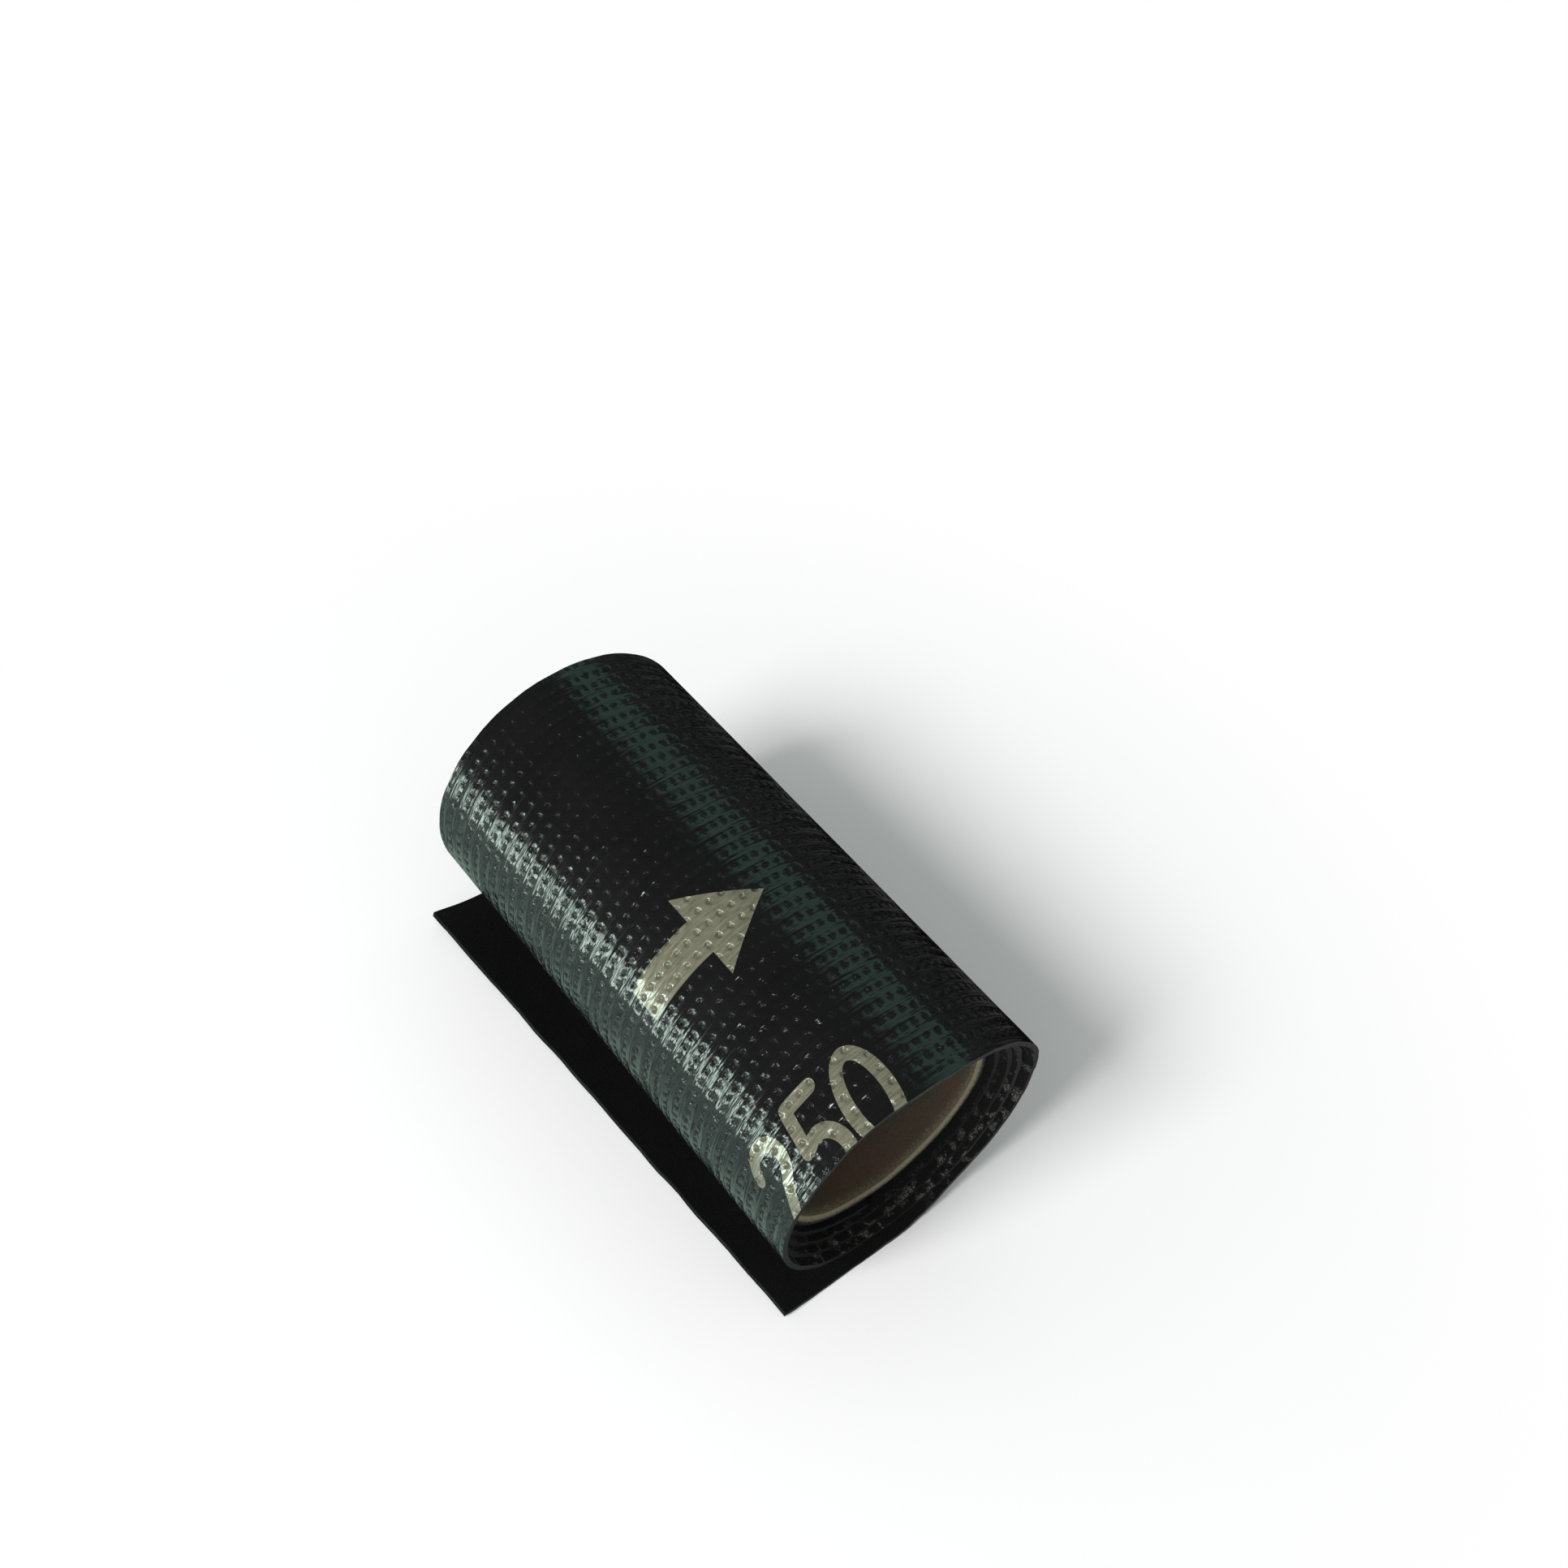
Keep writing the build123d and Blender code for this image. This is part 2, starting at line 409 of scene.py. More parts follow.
def make_film():
    material, tree = new_material("polyethylene_film_hot_pressed")
    relief, place, to_rim, _ = film_relief(tree)
    bump = node(tree, "Bump", {"Height": relief, "Distance": MM})
    worn = node(tree, "TexNoise", {"Vector": place, "Scale": WORN_PER_MM, "Detail": 5.0},
                noise_dimensions="2D")
    tone = node(tree, "Mix", {0: worn, 6: linear("#141414"), 7: linear("#1a1a1a")}, data_type="RGBA")
    rough = node(tree, "MapRange", {"Value": worn, "From Min": 0.3, "From Max": 0.7,
                                    "To Min": 0.26, "To Max": 0.36})
    gloss = node(tree, "MapRange", {"Value": to_rim, "From Min": 1.05, "From Max": 0.75,
                                    "To Min": 1.0, "To Max": 0.45})
    shader = node(tree, "BsdfPrincipled", {
        "Base Color": tone.outputs[2], "Roughness": rough, "Normal": bump, "IOR": 1.5,
        "Specular IOR Level": 0.15, "Coat Weight": gloss, "Coat Roughness": 0.11, "Coat IOR": 1.85,
        "Coat Normal": bump})
    node(tree, "OutputMaterial", [shader])
    return material


# Polyester fleece soaked in bitumen: matt black and a little sandy, with glossier grains. At the near end,
# where the loose turn comes up from the floor, it is crinkled, and the glints of its crinkles are painted on
# as pale lines in patches
GRAINS_PER_MM, DUST_PER_MM = 1.8, 0.08         # sand about 0.5 mm across, in clouds about 12 mm wide
WRINKLES_PER_MM, GLINT_PATCHES_PER_MM = 1.0, 0.2      # painted glint lines about 1 mm apart, in patches of about 5 mm
GLINT_LINES_Y = (-88.0, -94.0)   # the painted glint lines start and are full here
GLINT_LINES_S = (15.0, 70.0)


def make_underside():
    material, tree = new_material("bitumen_fleece_soaked")
    place = node(tree, "VectorMath", [node(tree, "UVMap", uv_map="strip_mm"), (UV_MM, UV_MM, UV_MM)],
                 operation="MULTIPLY")
    grain = node(tree, "TexNoise", {"Vector": place, "Scale": GRAINS_PER_MM, "Detail": 4.0,
                                    "Roughness": 0.75}, noise_dimensions="2D")
    dust = node(tree, "TexNoise", {"Vector": place, "Scale": DUST_PER_MM, "Detail": 3.0},
                noise_dimensions="2D")
    tone = node(tree, "Mix", {0: dust, 6: linear("#0a0a0a"), 7: linear("#101010")}, data_type="RGBA")
    rough = node(tree, "MapRange", {"Value": grain, "From Min": 0.45, "From Max": 0.65,
                                    "To Min": 0.85, "To Max": 0.35})
    bump = node(tree, "Bump", {"Height": grain, "Distance": 0.5 * MM})
    strip = node(tree, "SeparateXYZ", [place])
    at_edge = node(tree, "MapRange", {"Value": strip.outputs[1], "From Min": GLINT_LINES_Y[0],
                                      "From Max": GLINT_LINES_Y[1]})
    turned = node(tree, "MapRange", {"Value": strip.outputs[0], "From Min": GLINT_LINES_S[0],
                                     "From Max": GLINT_LINES_S[1]})
    wrinkle = node(tree, "TexNoise", {"Vector": place, "Scale": WRINKLES_PER_MM, "Detail": 1.0,
                                      "Roughness": 0.6, "Distortion": 1.5}, noise_dimensions="2D")
    wrinkle = node(tree, "Math", [wrinkle, 0.5], operation="SUBTRACT")
    wrinkle = node(tree, "Math", [wrinkle], operation="ABSOLUTE")
    thin = node(tree, "MapRange", {"Value": wrinkle, "From Min": 0.05, "From Max": 0.02})
    patch = node(tree, "TexNoise", {"Vector": place, "Scale": GLINT_PATCHES_PER_MM, "Detail": 2.0,
                                    "Roughness": 0.6}, noise_dimensions="2D")
    glint_patch_mask = node(tree, "MapRange", {"Value": patch, "From Min": 0.53, "From Max": 0.60})
    # painted highlight: pale lines in the base colour stand in for the glints of the crinkled film
    painted_glint_lines = node(tree, "Math", [thin, glint_patch_mask], operation="MULTIPLY")
    painted_glint_lines = node(tree, "Math", [painted_glint_lines, at_edge], operation="MULTIPLY")
    painted_glint_lines = node(tree, "Math", [painted_glint_lines, turned], operation="MULTIPLY")
    tone = node(tree, "Mix", {0: painted_glint_lines, 6: tone.outputs[2], 7: linear("#a3a39f")}, data_type="RGBA")
    shader = node(tree, "BsdfPrincipled", {
        "Base Color": tone.outputs[2], "Roughness": rough, "Normal": bump, "IOR": 1.5,
        "Specular IOR Level": 0.3})
    node(tree, "OutputMaterial", [shader])
    return material


# Bitumen cut with a knife: dull dark grey with paler ends of the fleece's threads, and painted shade that
# darkens it inside the winding
THREADS_PER_MM = 1.2         # ends of threads are about 0.8 mm apart
PAINTED_SHADE_S = (300.0, 380.0)


def make_cut_face():
    material, tree = new_material("bitumen_knife_cut")
    place = node(tree, "VectorMath", [node(tree, "UVMap", uv_map="strip_mm"), (UV_MM, UV_MM, UV_MM)],
                 operation="MULTIPLY")
    grain = node(tree, "TexNoise", {"Vector": place, "Scale": THREADS_PER_MM, "Detail": 4.0,
                                    "Roughness": 0.7}, noise_dimensions="2D")
    threads = node(tree, "MapRange", {"Value": grain, "From Min": 0.55, "From Max": 0.75})
    tone = node(tree, "Mix", {0: threads, 6: linear("#121211"), 7: linear("#2c2b2a")}, data_type="RGBA")
    # painted shade: the cut faces of the inner turns, recessed in the winding, are made darker
    strip = node(tree, "SeparateXYZ", [place])
    painted_shade = node(tree, "MapRange", {"Value": strip.outputs[0], "From Min": PAINTED_SHADE_S[0],
                                     "From Max": PAINTED_SHADE_S[1]})
    tone = node(tree, "Mix", {0: painted_shade, 6: tone.outputs[2], 7: linear("#0b0b0b")}, data_type="RGBA")
    bump = node(tree, "Bump", {"Height": grain, "Distance": 0.4 * MM})
    shader = node(tree, "BsdfPrincipled", {
        "Base Color": tone.outputs[2], "Roughness": 0.62, "Normal": bump, "IOR": 1.5})
    node(tree, "OutputMaterial", [shader])
    return material


felt_materials = [make_film(), make_underside(), make_cut_face()]
felt = make_object("felt_strip", points, faces, uvs, felt_materials, face_materials, face_flat)
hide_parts("felt_roll")
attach(felt, "root")


# The print. Champagne-silver ink rolled onto the film: a plain arrow that shows which way the strip unrolls,
# and plain numbers that the edge trims. Each is a closed layer of ink, cut out of the film's own surface so
# that it follows the pits.
INK = 0.03                   # thickness over the film
SUNK = 0.01                  # and how far the piece reaches into it
STROKE = 4.8                 # the numbers are drawn 19 wide and 36 high, with this stroke
SLANT = 0.12                 # and lean by this
NUMBERS_Y = -111.3           # their foot, past the edge at which they are trimmed
DIGIT_S = (244.5, 223.5, 203.6)          # where each of them begins on the strip
ARROW = np.array([(0, 10), (30, 10), (30, 0), (56, 17), (30, 34), (30, 24), (0, 24)], float)
ARROW_S, ARROW_Y = 228.0, -34.0
AROUND = 6                   # so much of the film's grid around a shape is worked on
EDGE_CLEAR = 0.05            # the ink ends this far from the strip's edge
STEEP = 0.06                 # faces that fall by more than this are flat
SAME_PLACE = 1e-5            # points nearer than this are one
ON_EDGE = 1e-6               # share of a triangle by which a point may lie outside it
NEAR_ROW = 0.1


# Outline of a stroke of even width with round ends, along a path of points
def stroke(path):
    path = np.array(path, float)
    ahead = np.gradient(path, axis=0)
    ahead /= np.linalg.norm(ahead, axis=1)[:, None]
    side = np.stack([-ahead[:, 1], ahead[:, 0]], 1) * STROKE / 2
    tip = ahead * STROKE / 2
    cap = np.linspace(0, math.pi, 9)[1:-1]
    end = [path[-1] + side[-1] * math.cos(a) + tip[-1] * math.sin(a) for a in cap]
    start = [path[0] - side[0] * math.cos(a) - tip[0] * math.sin(a) for a in cap]
    return np.array(list(path + side) + end + list((path - side)[::-1]) + start)


# Points of an ellipse's arc, from one angle to another in degrees
def arc(x, y, x_radius, y_radius, start, end, count=24):
    angle = np.radians(np.linspace(start, end, count))
    return list(zip(x + x_radius * np.cos(angle), y + y_radius * np.sin(angle)))


# Each number is given by its strokes, or by its outer and inner outline, from its lower left corner
TWO = [stroke(arc(9.5, 26.5, 7.1, 7.1, 170, -38) + [(12.2, 19.0), (2.6, 2.6)]),
       stroke([(2.6, 2.4), (16.8, 2.4)])]
FIVE = [stroke([(15.8, 33.6), (5.0, 33.6)]), stroke([(5.0, 33.6), (3.9, 20.4)]),
        stroke([(3.8, 19.8)] + arc(9.3, 12.0, 7.3, 9.4, 115, -150))]
ZERO_OUTER = np.array(arc(9.5, 18, 9.5, 18, 0, 360, 49)[:-1])
ZERO_INNER = np.array(arc(9.5, 18, 4.8, 13.2, 0, 360, 49)[:-1])


# Which points lie inside a closed loop
def inside_loop(places, loop):
    x, y = places[:, 0][:, None], places[:, 1][:, None]
    x0, y0 = loop[:, 0], loop[:, 1]
    x1, y1 = np.roll(x0, -1), np.roll(y0, -1)
    rise = np.where(y1 == y0, 1e-12, y1 - y0)
    crossed = ((y0 > y) != (y1 > y)) & (x < (x1 - x0) * (y - y0) / rise + x0)
    return crossed.sum(1) % 2 == 1


# Cuts a shape out of the film's grid. Solid loops are joined, and open loops are cut out of them
def print_shape(solid, open_loops=()):
    loops = list(solid) + list(open_loops)
    low, high = np.concatenate(loops).min(0) - AROUND, np.concatenate(loops).max(0) + AROUND
    rows = [k for k in range(len(s_rows)) if low[0] < s_rows[k] < high[0]]
    kept = [k for k in range(columns) if low[1] < y_lines[k] < high[1]]
    grid = [values[rows[0]:rows[-1] + 1, kept[0]:kept[-1] + 1] for values in (S, Y, sink)]
    count, width = grid[0].shape
    flat = [Vector(place) for place in np.stack(grid[:2], -1).reshape(-1, 2)]
    at = np.arange(count * width).reshape(count, width).tolist()
    edges = [(at[i][j], at[i][j + 1]) for i in range(count) for j in range(width - 1)]
    edges += [(at[i][j], at[i + 1][j]) for i in range(count - 1) for j in range(width)]
    edges += [(at[i][j], at[i + 1][j + 1]) for i in range(count - 1) for j in range(width - 1)]
    for loop in loops:
        first = len(flat)
        flat += [Vector(place) for place in loop]
        edges += [(first + i, first + (i + 1) % len(loop)) for i in range(len(loop))]
    places, _, triangles, _, _, _ = delaunay_2d_cdt(flat, edges, [], 0, SAME_PLACE)
    places = np.array([(place.x, place.y) for place in places])
    triangles = np.array(triangles)
    middle = places[triangles].mean(1)
    keep = np.any([inside_loop(middle, loop) for loop in solid], 0)
    for loop in open_loops:
        keep &= ~inside_loop(middle, loop)
    keep &= middle[:, 1] > near_edge(middle[:, 0]) + EDGE_CLEAR
    return places, triangles[keep], grid


# Depth of the film under each place, on the same triangles as the film's own
def film_depth(places, grid):
    depth = np.zeros(len(places))
    for i in range(grid[0].shape[0] - 1):
        low, high = grid[0][i].min() - NEAR_ROW, grid[0][i + 1].max() + NEAR_ROW
        in_row = np.where((places[:, 0] > low) & (places[:, 0] < high))[0]
        if not len(in_row):
            continue
        s, y = places[in_row, 0][:, None], places[in_row, 1][:, None]
        corners = [(g[i, :-1], g[i, 1:], g[i + 1, :-1], g[i + 1, 1:]) for g in grid]
        for triangle in ((0, 1, 3), (0, 3, 2)):
            (s0, s1, s2), (y0, y1, y2), (d0, d1, d2) = [[c[k] for k in triangle] for c in corners]
            area = (s1 - s0) * (y2 - y0) - (s2 - s0) * (y1 - y0)
            u = ((s - s0) * (y2 - y0) - (s2 - s0) * (y - y0)) / area
            w = ((s1 - s0) * (y - y0) - (s - s0) * (y1 - y0)) / area
            hit = (u > -ON_EDGE) & (w > -ON_EDGE) & (u + w < 1 + ON_EDGE)
            value = d0 + u * (d1 - d0) + w * (d2 - d0)
            found = hit.any(1)
            depth[in_row[found]] = value[found, hit[found].argmax(1)]
    return depth


# Metallic pigment ink, rolled on: a dull silver in fine streaks along the strip under a clear gloss. A bowl
# in the bump makes the pits steeper than they are, so that each has a bright and a dark side
BOWL, BOWL_WIDE = 0.80, (1.5, 0.1)
FLECKS_PER_MM, FLECK_STRETCH = 1.1, 0.12       # streaks are about 0.9 mm wide and 7.6 mm long


def make_ink():
    material, tree = new_material("pigment_ink_rolled_on")
    relief, place, _, aside = film_relief(tree)
    bowl = node(tree, "MapRange", {"Value": aside, "From Min": BOWL_WIDE[0], "From Max": BOWL_WIDE[1]},
                interpolation_type="SMOOTHSTEP")
    relief = node(tree, "Math", [bowl, -BOWL, relief], operation="MULTIPLY_ADD")
    bump = node(tree, "Bump", {"Height": relief, "Distance": MM})
    streaks = node(tree, "VectorMath", [place, (FLECK_STRETCH, 1.0, 1.0)], operation="MULTIPLY")
    fleck = node(tree, "TexNoise", {"Vector": streaks, "Scale": FLECKS_PER_MM, "Detail": 4.0,
                                    "Roughness": 0.7}, noise_dimensions="2D")
    fleck = node(tree, "MapRange", {"Value": fleck, "From Min": 0.3, "From Max": 0.7})
    tone = node(tree, "Mix", {0: fleck, 6: linear("#6f7059"), 7: linear("#9a9984")}, data_type="RGBA")
    shader = node(tree, "BsdfPrincipled", {
        "Base Color": tone.outputs[2], "Roughness": 0.32, "Metallic": 0.35, "Normal": bump, "IOR": 1.5,
        "Coat Weight": 1.0, "Coat Roughness": 0.10, "Coat IOR": 2.2, "Coat Normal": bump})
    node(tree, "OutputMaterial", [shader])
    return material


ink = make_ink()


# A layer of ink as a closed piece: its face, the same face turned over on the film, and walls along its edges
def print_piece(name, solid, open_loops=()):
    flat, triangles, grid = print_shape(solid, open_loops)
    depth = film_depth(flat, grid)
    share = np.clip((flat[:, 1] - y_lines[0]) / (y_lines[-1] - y_lines[0]), 0, 1)
    places = [strip_place(flat[:, 0], flat[:, 1], share, depth + layer) for layer in (-INK, SUNK)]
    count = len(flat)
    face = triangles[:, ::-1].tolist()
    under = (triangles + count).tolist()
    edges = {(a, b) for corners in face for a, b in zip(corners, corners[1:] + corners[:1])}
    walls = [[b, a, a + count, b + count] for a, b in sorted(edges) if (b, a) not in edges]
    steep = (np.ptp(depth[triangles], axis=1) > STEEP).tolist()
    ink_uvs = np.tile(flat / UV_MM, (2, 1)).tolist()
    obj = make_object(name, np.concatenate(places).tolist(), face + under + walls, ink_uvs, [ink],
                      face_flat=steep + steep + [False] * len(walls))
    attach(obj, "root")


# Puts loops on the strip. They are drawn as the print is read, with x to the right, which is against the path
def on_strip(loops, s_left, y_foot, slant):
    return [np.stack([s_left - (loop[:, 0] + slant * loop[:, 1]), y_foot + loop[:, 1]], -1) for loop in loops]


print_piece("print_digit_1", on_strip(TWO, DIGIT_S[0], NUMBERS_Y, SLANT))
print_piece("print_digit_2", on_strip(FIVE, DIGIT_S[1], NUMBERS_Y, SLANT))
print_piece("print_digit_3", on_strip([ZERO_OUTER], DIGIT_S[2], NUMBERS_Y, SLANT),
            on_strip([ZERO_INNER], DIGIT_S[2], NUMBERS_Y, SLANT))
print_piece("print_arrow", on_strip([ARROW], ARROW_S, ARROW_Y, 0.0))


# The tube. Kraft board wound in a spiral and glued, sawn to length, a little shorter than the felt is wide,
# with a soft torn edge. The felt was started on it and nothing else holds it.
TUBE_X, TUBE_Z = 0.675, 53.7
TUBE_R, BORE_R = 43.15, 39.0
TUBE_START, TUBE_LENGTH = -87.9, 189.1
NEAR_RIM = [(0.8, -0.004), (2.0, -0.006), (3.2, -0.004)]    # into the wall, and along as a share of it all
FAR_RIM = (1.5, 1.002)                   # into the wall from the bore, and along
RIM_WAVER = 0.3                          # the near rim is uneven by this
RIM_SHARE = 0.02                         # over this share of the length
RIM_RING, RIM_DEPTH = 40, 2              # radius that its waves are taken at, and stretch through the wall
OUTER_ROWS, BORE_ROWS, AROUND_TUBE = 30, 60, 288
FIBRES_PER_MM, BLOTCHES_PER_MM = 1.5, 0.045    # fibres are about 0.7 mm apart, and blotches 22 mm wide
FUZZ, RAGGED = 16.0, 3.0                 # how far fibres blur the pale rim, and how far they blur the darker outer part of the end
SOFT_Y = (-85.3, -87.3)                  # the board pales towards the sawn end
SAWN_Y = (-86.5, -87.5)
DARK_END_R = (39.7, 40.9)                   # and the end is darker out from here, but for a thin line at the bore


# Brown board: matt, with fibres and wide blotches where the glue came through, a pale fuzzy rim, and a darker
# outer end
def make_board():
    material, tree = new_material("kraft_board_spiral_wound")
    place = node(tree, "VectorMath", [node(tree, "TexCoord").outputs["Object"], (1000.0, 1000.0, 1000.0)],
                 operation="MULTIPLY")
    fibre = node(tree, "TexNoise", {"Vector": place, "Scale": FIBRES_PER_MM, "Detail": 5.0, "Roughness": 0.7})
    blotch = node(tree, "TexNoise", {"Vector": place, "Scale": BLOTCHES_PER_MM, "Detail": 4.0,
                                     "Roughness": 0.6})
    blotch = node(tree, "MapRange", {"Value": blotch, "From Min": 0.42, "From Max": 0.58})
    tone = node(tree, "Mix", {0: blotch, 6: linear("#40482f"), 7: linear("#644231")}, data_type="RGBA")
    pale = node(tree, "MapRange", {"Value": fibre, "From Min": 0.3, "From Max": 0.75, "To Max": 0.7})
    tone = node(tree, "Mix", {0: pale, 6: tone.outputs[2], 7: linear("#7a7058")}, data_type="RGBA")
    spot = node(tree, "VectorMath", [place, (TUBE_X, 0, TUBE_Z)], operation="SUBTRACT")
    spot = node(tree, "SeparateXYZ", [spot])
    uneven = node(tree, "Math", [fibre, 0.5], operation="SUBTRACT")
    fuzzy_y = node(tree, "Math", [uneven, FUZZ, spot.outputs[1]], operation="MULTIPLY_ADD")
    soft = node(tree, "MapRange", {"Value": fuzzy_y, "From Min": SOFT_Y[0], "From Max": SOFT_Y[1]})
    tone = node(tree, "Mix", {0: soft, 6: tone.outputs[2], 7: linear("#8c8369")}, data_type="RGBA")
    x_square = node(tree, "Math", [spot.outputs[0], spot.outputs[0]], operation="MULTIPLY")
    z_square = node(tree, "Math", [spot.outputs[2], spot.outputs[2]], operation="MULTIPLY")
    radius = node(tree, "Math", [x_square, z_square], operation="ADD")
    radius = node(tree, "Math", [radius], operation="SQRT")
    # the sawn end is darker out from the bore, but for a thin line next to it
    ragged = node(tree, "Math", [uneven, RAGGED, radius], operation="MULTIPLY_ADD")
    dark_end = node(tree, "MapRange", {"Value": ragged, "From Min": DARK_END_R[0], "From Max": DARK_END_R[1]})
    sawn = node(tree, "MapRange", {"Value": spot.outputs[1], "From Min": SAWN_Y[0], "From Max": SAWN_Y[1]})
    dark_end = node(tree, "Math", [sawn, dark_end], operation="MULTIPLY")
    tone = node(tree, "Mix", {0: dark_end, 6: tone.outputs[2], 7: linear("#1c1a17")}, data_type="RGBA")
    bump = node(tree, "Bump", {"Height": fibre, "Distance": 0.15 * MM})
    shader = node(tree, "BsdfPrincipled", {"Base Color": tone.outputs[2], "Roughness": 0.85, "Normal": bump})
    node(tree, "OutputMaterial", [shader])
    return material


# The profile runs along the outside to the near end, round its rim, and back through the bore
profile = [(TUBE_R, along) for along in np.linspace(1, 0, OUTER_ROWS)]
profile += [(TUBE_R - depth, along) for depth, along in NEAR_RIM]
profile += [(BORE_R, along) for along in np.linspace(0, 1, BORE_ROWS)]
profile += [(BORE_R + FAR_RIM[0], FAR_RIM[1])]
angles = np.linspace(0, 2 * math.pi, AROUND_TUBE + 1)[:-1]
radius = np.repeat(np.array(profile)[:, :1], AROUND_TUBE, 1)
along = np.repeat(np.array(profile)[:, 1:], AROUND_TUBE, 1)
angle = np.repeat(angles[None, :], len(profile), 0)
ring_x, ring_z = np.cos(angle) * RIM_RING, np.sin(angle) * RIM_RING
rim_wave = waves(ring_x, ring_z, radius * RIM_DEPTH, seed=11, longest=40, octaves=5)
y = TUBE_START + TUBE_LENGTH * along + RIM_WAVER * rim_wave * (along < RIM_SHARE)
places = np.stack([TUBE_X + radius * np.cos(angle), y, TUBE_Z + radius * np.sin(angle)], -1) * MM
index = np.arange(angle.size).reshape(angle.shape)
after = np.roll(index, -1, 0)
quads = np.stack([index, np.roll(index, -1, 1), np.roll(after, -1, 1), after], -1)
tube_uvs = np.stack([angle * radius / UV_MM, y / UV_MM + radius / UV_MM], -1)
tube = make_object("board_tube", places.reshape(-1, 3).tolist(), quads.reshape(-1, 4).tolist(),
                   tube_uvs.reshape(-1, 2).tolist(), [make_board()], uv_name="board_mm")
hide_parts("cardboard_core")
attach(tube, "root")


# The floor. A plain white studio table, which keeps the roll's shadow near it. Further off it is pure white
# to the camera and in reflections.
FLOOR_HALF = 4
CLEAR_FROM, CLEAR_TO = 0.12, 0.34        # metres from the roll's middle


# Matt white laminate: paper white, with no sheen of its own
def make_floor():
    material, tree = new_material("white_laminate_matt")
    away = node(tree, "VectorMath", [node(tree, "TexCoord").outputs["Object"]], operation="LENGTH")
    clear = node(tree, "MapRange", {"Value": away.outputs["Value"], "From Min": CLEAR_FROM,
                                    "From Max": CLEAR_TO}, interpolation_type="SMOOTHSTEP")
    rays = node(tree, "LightPath")
    seen = node(tree, "Math", [rays.outputs["Is Camera Ray"], rays.outputs["Is Glossy Ray"]],
                operation="MAXIMUM")
    seen = node(tree, "Math", [seen, rays.outputs["Is Transmission Ray"]], operation="MAXIMUM")
    matt = node(tree, "BsdfDiffuse", {"Color": linear("#fbfbfb")})
    white = node(tree, "Emission", {"Color": linear("#ffffff"), "Strength": 1.0})
    share = node(tree, "Math", [clear, seen], operation="MULTIPLY")
    node(tree, "OutputMaterial", [node(tree, "MixShader", [share, matt, white])])
    return material


def stage_piece(name, points, faces, material):
    mesh = bpy.data.meshes.new(name)
    mesh.from_pydata(points, [], faces)
    mesh.materials.append(material)
    obj = bpy.data.objects.new(name, mesh)
    scene.collection.objects.link(obj)
    return obj


floor_corners = [(x * FLOOR_HALF, y * FLOOR_HALF, 0) for x, y in ((-1, -1), (1, -1), (1, 1), (-1, 1))]
stage_piece("floor", floor_corners, [(0, 1, 2, 3)], make_floor())


# Studio cards that only gloss sees, which put the streaks on the film. On the left lie a grey one, lines at
# the roll's foot and bright strips far off. On the right a dark one rises behind lines, and others stand in
# front and overhead.
LEFT_TINT, BRIGHT_TINT, GLINT_TINT, WHITE = "#dcfff1", "#e8fff5", "#f6fff9", "#ffffff"
LEFT_GREY, LEFT_LINES, LEFT_BRIGHT = 0.09, 0.35, 5.4          # strengths
RIGHT_DARK, RIGHT_LINES, RIGHT_RISE, FRONT = 0.003, 0.03, 0.06, 2.0
GLINTS = (("card_glint_low", 12, 42, 10.0), ("card_glint_high", 42, 76, 4.0))    # degrees up, and strength
GLINT_FAR, GLINT_Y, GLINT_STEPS = 1252, (-660, -1010), 3


def card(name, points, faces, strength, colour=WHITE):
    material, tree = new_material(name)
    glow = node(tree, "Emission", {"Color": linear(colour), "Strength": strength})
    node(tree, "OutputMaterial", [glow])
    obj = stage_piece(name, [tuple(c * MM for c in point) for point in points], faces, material)
    obj.visible_camera = obj.visible_diffuse = obj.visible_shadow = obj.visible_transmission = False


# A row of slats between two lines, so that the film's draw lines break their reflection up
def slats(name, near_line, far_line, strength, count, share, colour=WHITE):
    points, quads = [], []
    for i in range(count):
        for t in (i / count, (i + share) / count):
            for start, end in (near_line, far_line):
                points.append([a + (b - a) * t for a, b in zip(start, end)])
        quads.append((4 * i, 4 * i + 2, 4 * i + 3, 4 * i + 1))
    card(name, points, quads, strength, colour)


# A strip overhead on the left, between two angles up from the floor, that each pit answers with a glint
def overhead(name, low, high, strength):
    angles = np.radians(np.linspace(low, high, GLINT_STEPS + 1))
    points = [(-GLINT_FAR * math.cos(a), y, GLINT_FAR * math.sin(a)) for a in angles for y in GLINT_Y]
    quads = [(2 * i, 2 * i + 1, 2 * i + 3, 2 * i + 2) for i in range(GLINT_STEPS)]
    card(name, points, quads, strength, GLINT_TINT)


card("card_left_grey", [(-5, -900, 0.5), (-2500, -900, 0.5), (-2500, 2500, 0.5), (-5, 2500, 0.5)],
     [(0, 1, 2, 3)], LEFT_GREY, LEFT_TINT)
slats("card_left_lines", [(-20, -230, 1), (-20, 330, 1)], [(-215, -170, 1), (-195, 430, 1)],
      LEFT_LINES, count=16, share=0.75, colour=LEFT_TINT)
card("card_right_dark", [(60, -160, 1), (150, -160, 1), (150, 700, 1), (60, 700, 1), (188, -160, 250),
                         (188, 700, 250)], [(0, 1, 2, 3), (1, 4, 5, 2)], RIGHT_DARK)
slats("card_right_lines", [(66, -160, 2), (66, 700, 2)], [(149, -160, 2), (149, 700, 2)],
      RIGHT_LINES, count=15, share=0.5)
slats("card_right_rise", [(149, -160, 2), (149, 700, 2)], [(187, -160, 250), (187, 700, 250)],
      RIGHT_RISE, count=15, share=0.5)
slats("card_left_bright", [(-225, -70, 2), (-190, 260, 2)], [(-2000, 440, 2), (-1600, 1480, 2)],
      LEFT_BRIGHT, count=3, share=0.5, colour=BRIGHT_TINT)
card("card_front", [(-1250, -500, 150), (-800, -1100, 150), (-800, -1100, 650), (-1250, -500, 650)],
     [(0, 1, 2, 3)], FRONT)
for name, low, high, strength in GLINTS:
    overhead(name, low, high, strength)


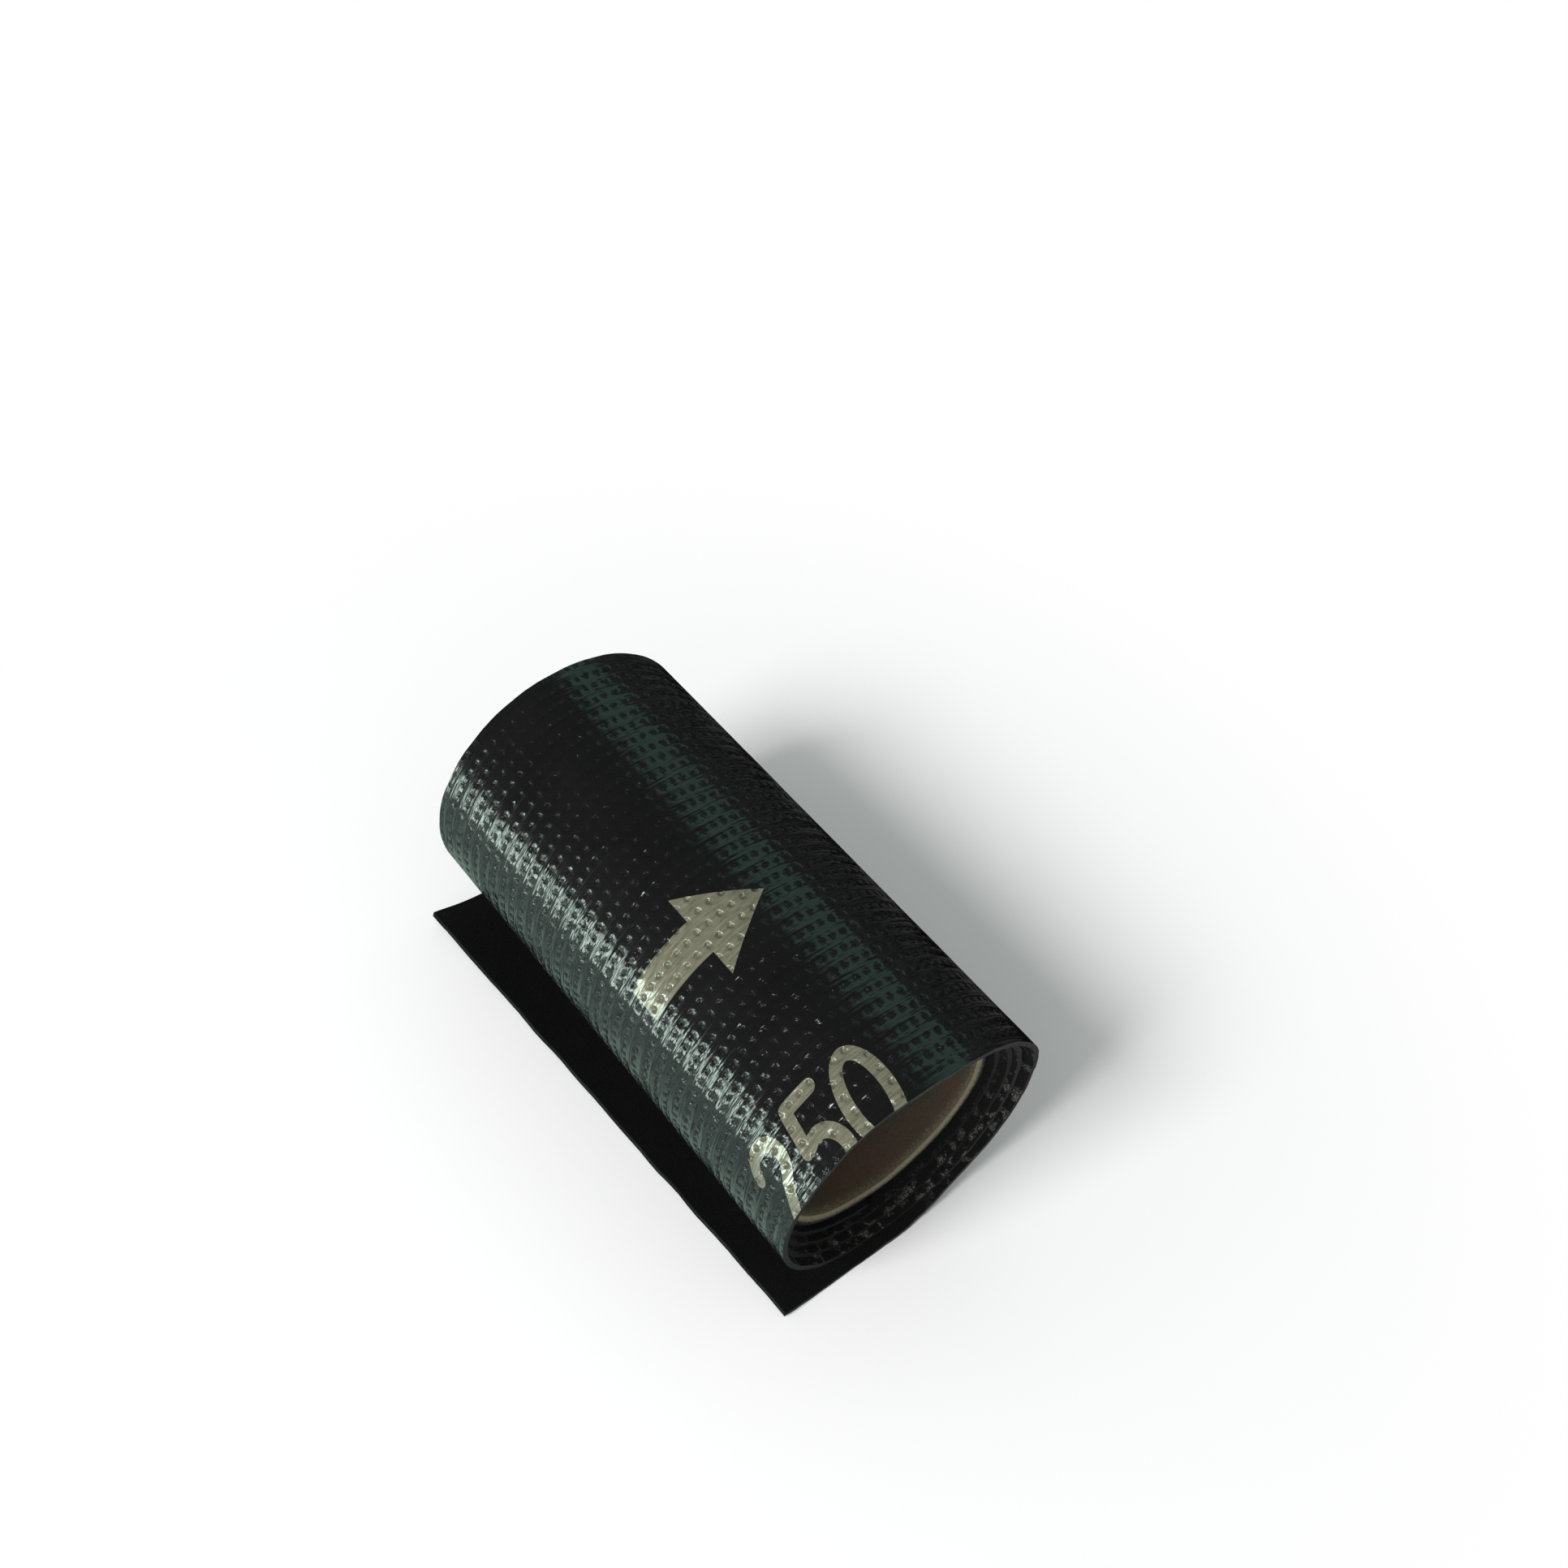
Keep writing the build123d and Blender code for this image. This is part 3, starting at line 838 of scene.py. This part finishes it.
# The light. A soft key from the left, which gloss doesn't see, and three dim panels behind to the right, one
# around the other, so that their reflection fades at its sides. The room is dim and white only to the camera.
ROLL_MIDDLE = Vector((0, 0, 0.05))
KEY_SIDE, PANEL_SIDE = (-0.78, -0.03, 0.62), (0.655, 0.43, 0.615)
PANEL_TINT = (0.50, 1.0, 0.82)
KEY = (2.6, 1.0, 1.0, 70)                            # distance, length, width and watts
PANELS = (("panel", 2.4, 3.2, 1.7, 1.65),
          ("panel_glow", 2.5, 3.4, 2.6, 2.2),
          ("panel_halo", 2.6, 3.6, 3.4, 1.0))
ROOM = 0.38                  # how much light the room gives


# An oval lamp that looks at the roll, with its length along the roll. Distance and sizes are in metres
def soft_box(name, side, distance, length, width, watts, colour):
    lamp = bpy.data.lights.new(name, "AREA")
    lamp.shape = "ELLIPSE"
    lamp.size, lamp.size_y = length, width
    lamp.energy = watts
    lamp.color = colour
    obj = bpy.data.objects.new(name, lamp)
    towards = Vector(side).normalized()
    along = (Vector((0, 1, 0)) - towards * towards.y).normalized()
    obj.location = towards * distance + ROLL_MIDDLE
    obj.rotation_euler = Matrix((along, towards.cross(along), towards)).transposed().to_euler()
    scene.collection.objects.link(obj)
    return obj


key = soft_box("key", KEY_SIDE, *KEY, (1, 1, 1))
key.visible_glossy = False
for name, *sizes in PANELS:
    soft_box(name, PANEL_SIDE, *sizes, PANEL_TINT)

room = bpy.data.worlds.new("room")
room.use_nodes = True
room.node_tree.nodes.clear()
rays = node(room.node_tree, "LightPath")
seen = node(room.node_tree, "Math", [rays.outputs["Is Camera Ray"], rays.outputs["Is Transmission Ray"]],
            operation="MAXIMUM")
strength = node(room.node_tree, "MapRange", {"Value": seen, "To Min": ROOM, "To Max": 1.0})
white = node(room.node_tree, "Background", {"Color": linear("#ffffff"), "Strength": strength})
node(room.node_tree, "OutputWorld", [white])
room.cycles_visibility.glossy = False
scene.world = room


# The camera stands where the photograph was taken from. Its place and turn were worked out from the roll's
# outlines in the picture.
PICTURE_WIDTH = 1932
FOCAL_LENGTH = 2261.44       # in the picture's pixels
SENSOR = 36.0
CAMERA_PLACE = (-271.17, -270.29, 558.04)
TURN, TILT, LEAN = -46.75, 42.54, 10.99  # degrees
lens = bpy.data.cameras.new("camera")
lens.sensor_width = SENSOR
lens.lens = FOCAL_LENGTH / PICTURE_WIDTH * SENSOR
lens.clip_start, lens.clip_end = 0.01, 20
camera = bpy.data.objects.new("camera", lens)
turned = Matrix.Rotation(math.radians(TURN), 4, "Z") @ Matrix.Rotation(math.radians(TILT), 4, "X")
turned = turned @ Matrix.Rotation(math.radians(LEAN), 4, "Z")
camera.matrix_world = Matrix.Translation(Vector(CAMERA_PLACE) * MM) @ turned
scene.collection.objects.link(camera)
scene.camera = camera
scene.view_settings.view_transform = "Standard"
